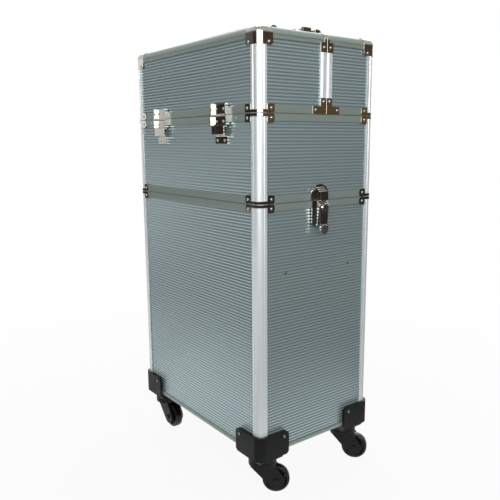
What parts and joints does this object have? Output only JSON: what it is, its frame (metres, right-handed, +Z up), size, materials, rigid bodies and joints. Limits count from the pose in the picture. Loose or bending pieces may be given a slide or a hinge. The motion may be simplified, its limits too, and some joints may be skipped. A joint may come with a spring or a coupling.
{
  "type": "rolling makeup train case",
  "caption": "Upright aluminium-framed makeup train case on swivel casters, with a lift-off upper case, a split lid that opens outwards over cantilever trays, key locks and a pull handle.",
  "frame": {"origin": "on the floor under the middle of the case", "axes": "+Z up, -Y towards the front face with the key lock, +X to the right seen from the front"},
  "size_m": [0.254, 0.396, 0.7475],
  "materials": {
    "board": "ribbed metallic facing, satin",
    "extrusion": "satin anodised",
    "chrome": "polished",
    "black_plastic": "moulded satin",
    "wheel": "satin",
    "steel": "satin",
    "tray": "satin"
  },
  "bodies": {
    "base": {"base_boards": "board", "base_floor": "board", "base_corner_posts": "extrusion", "base_rails": "extrusion", "base_corner_brackets": "chrome", "caster_boots": "black_plastic", "lock_bases": "chrome", "pull_handle_sleeves": "extrusion", "pull_handle_clamps": "black_plastic"},
    "upper_case": {"upper_boards": "board", "upper_floor": "board", "upper_corner_posts": "extrusion", "upper_rails": "extrusion", "upper_corner_brackets": "chrome", "hinge_case_leaves": "chrome", "lock_strikes": "chrome", "arm_studs": "steel"},
    "lid_left": {"lid_left_boards": "board", "lid_left_frame": "extrusion", "lid_left_corner_caps": "chrome", "lid_left_brackets": "chrome", "lid_left_hinge_leaves": "chrome", "lid_left_tray_studs": "steel", "handle_brackets": "chrome", "latch_bases": "chrome"},
    "lid_right": {"lid_right_boards": "board", "lid_right_frame": "extrusion", "lid_right_corner_caps": "chrome", "lid_right_brackets": "chrome", "lid_right_hinge_leaves": "chrome", "lid_right_tray_studs": "steel", "latch_strikes": "chrome"},
    "tray_left": {"tray_left": "tray"},
    "tray_right": {"tray_right": "tray"},
    "tray_arms_left": {"tray_arms_left": "steel"},
    "tray_arms_right": {"tray_arms_right": "steel"},
    "carry_handle": {"carry_handle": "black_plastic"},
    "latch_lever_front": {"latch_lever_front": "chrome"},
    "latch_lever_back": {"latch_lever_back": "chrome"},
    "lock_lever_front": {"lock_lever_front": "chrome"},
    "lock_lever_back": {"lock_lever_back": "chrome"},
    "pull_handle": {"pull_handle_tubes": "extrusion", "pull_handle_grip": "black_plastic"},
    "pull_button": {"pull_handle_button": "black_plastic"},
    "caster_front_left": {"caster_fork_front_left": "black_plastic"},
    "wheel_front_left": {"caster_wheel_front_left": "wheel"},
    "caster_front_right": {"caster_fork_front_right": "black_plastic"},
    "wheel_front_right": {"caster_wheel_front_right": "wheel"},
    "caster_back_left": {"caster_fork_back_left": "black_plastic"},
    "wheel_back_left": {"caster_wheel_back_left": "wheel"},
    "caster_back_right": {"caster_fork_back_right": "black_plastic"},
    "wheel_back_right": {"caster_wheel_back_right": "wheel"}
  },
  "joints": [
    {"name": "upper_case_lift", "type": "slide", "parent": "base", "child": "upper_case", "axis": [0, 0, 1], "range_m": [0, 0.13]},
    {"name": "lid_left_hinge", "type": "hinge", "parent": "upper_case", "child": "lid_left", "pos_m": [-0.1236, 0, 0.605], "axis": [0, -1, 0], "range_deg": [0, 95]},
    {"name": "lid_right_hinge", "type": "hinge", "parent": "upper_case", "child": "lid_right", "pos_m": [0.1236, 0, 0.605], "axis": [0, 1, 0], "range_deg": [0, 95]},
    {"name": "tray_left_pivot", "type": "hinge", "parent": "lid_left", "child": "tray_left", "pos_m": [-0.0438, 0, 0.622], "axis": [0, 1, 0], "range_deg": [0, 95]},
    {"name": "tray_right_pivot", "type": "hinge", "parent": "lid_right", "child": "tray_right", "pos_m": [0.0678, 0, 0.622], "axis": [0, -1, 0], "range_deg": [0, 95]},
    {"name": "tray_arms_left_pivot", "type": "hinge", "parent": "upper_case", "child": "tray_arms_left", "pos_m": [-0.09, 0, 0.585], "axis": [0, -1, 0], "range_deg": [0, 95]},
    {"name": "tray_arms_right_pivot", "type": "hinge", "parent": "upper_case", "child": "tray_arms_right", "pos_m": [0.09, 0, 0.585], "axis": [0, 1, 0], "range_deg": [0, 95]},
    {"name": "carry_handle_swing", "type": "hinge", "parent": "lid_left", "child": "carry_handle", "pos_m": [-0.014, 0, 0.7375], "axis": [0, 1, 0], "range_deg": [0, 90]},
    {"name": "latch_front_lift", "type": "hinge", "parent": "lid_left", "child": "latch_lever_front", "pos_m": [-0.0078, -0.148, 0.72925], "axis": [0, -1, 0], "range_deg": [0, 90]},
    {"name": "latch_back_lift", "type": "hinge", "parent": "lid_left", "child": "latch_lever_back", "pos_m": [-0.0078, 0.148, 0.72925], "axis": [0, -1, 0], "range_deg": [0, 90]},
    {"name": "lock_front_swing", "type": "hinge", "parent": "base", "child": "lock_lever_front", "pos_m": [0, -0.192, 0.466], "axis": [-1, 0, 0], "range_deg": [0, 90]},
    {"name": "lock_back_swing", "type": "hinge", "parent": "base", "child": "lock_lever_back", "pos_m": [0, 0.192, 0.466], "axis": [1, 0, 0], "range_deg": [0, 90]},
    {"name": "pull_handle_slide", "type": "slide", "parent": "base", "child": "pull_handle", "axis": [0, 0, 1], "range_m": [0, 0.26]},
    {"name": "pull_button_press", "type": "slide", "parent": "pull_handle", "child": "pull_button", "axis": [0, 0, -1], "range_m": [0, 0.003], "stiffness_N_per_m": 600, "springref_m": -0.001},
    {"name": "caster_front_left_swivel", "type": "hinge", "parent": "base", "child": "caster_front_left", "pos_m": [-0.092, -0.156, 0.05], "axis": [0, 0, 1], "continuous": true},
    {"name": "wheel_front_left_spin", "type": "hinge", "parent": "caster_front_left", "child": "wheel_front_left", "pos_m": [-0.07443, -0.16924, 0.0225], "axis": [0.6018, 0.7986, 0], "continuous": true},
    {"name": "caster_front_right_swivel", "type": "hinge", "parent": "base", "child": "caster_front_right", "pos_m": [0.092, -0.156, 0.05], "axis": [0, 0, 1], "continuous": true},
    {"name": "wheel_front_right_spin", "type": "hinge", "parent": "caster_front_right", "child": "wheel_front_right", "pos_m": [0.10614, -0.17285, 0.0225], "axis": [0.766, 0.6428, 0], "continuous": true},
    {"name": "caster_back_left_swivel", "type": "hinge", "parent": "base", "child": "caster_back_left", "pos_m": [-0.092, 0.156, 0.05], "axis": [0, 0, 1], "continuous": true},
    {"name": "wheel_back_left_spin", "type": "hinge", "parent": "caster_back_left", "child": "wheel_back_left", "pos_m": [-0.092, 0.134, 0.0225], "axis": [1, 0, 0], "continuous": true},
    {"name": "caster_back_right_swivel", "type": "hinge", "parent": "base", "child": "caster_back_right", "pos_m": [0.092, 0.156, 0.05], "axis": [0, 0, 1], "continuous": true},
    {"name": "wheel_back_right_spin", "type": "hinge", "parent": "caster_back_right", "child": "wheel_back_right", "pos_m": [0.103, 0.13695, 0.0225], "axis": [0.866, 0.5, 0], "continuous": true}
  ],
  "couplings": [
    {"joint": "tray_left_pivot", "follows": "lid_left_hinge", "ratio": 1},
    {"joint": "tray_arms_left_pivot", "follows": "lid_left_hinge", "ratio": 1},
    {"joint": "tray_right_pivot", "follows": "lid_right_hinge", "ratio": 1},
    {"joint": "tray_arms_right_pivot", "follows": "lid_right_hinge", "ratio": 1}
  ]
}
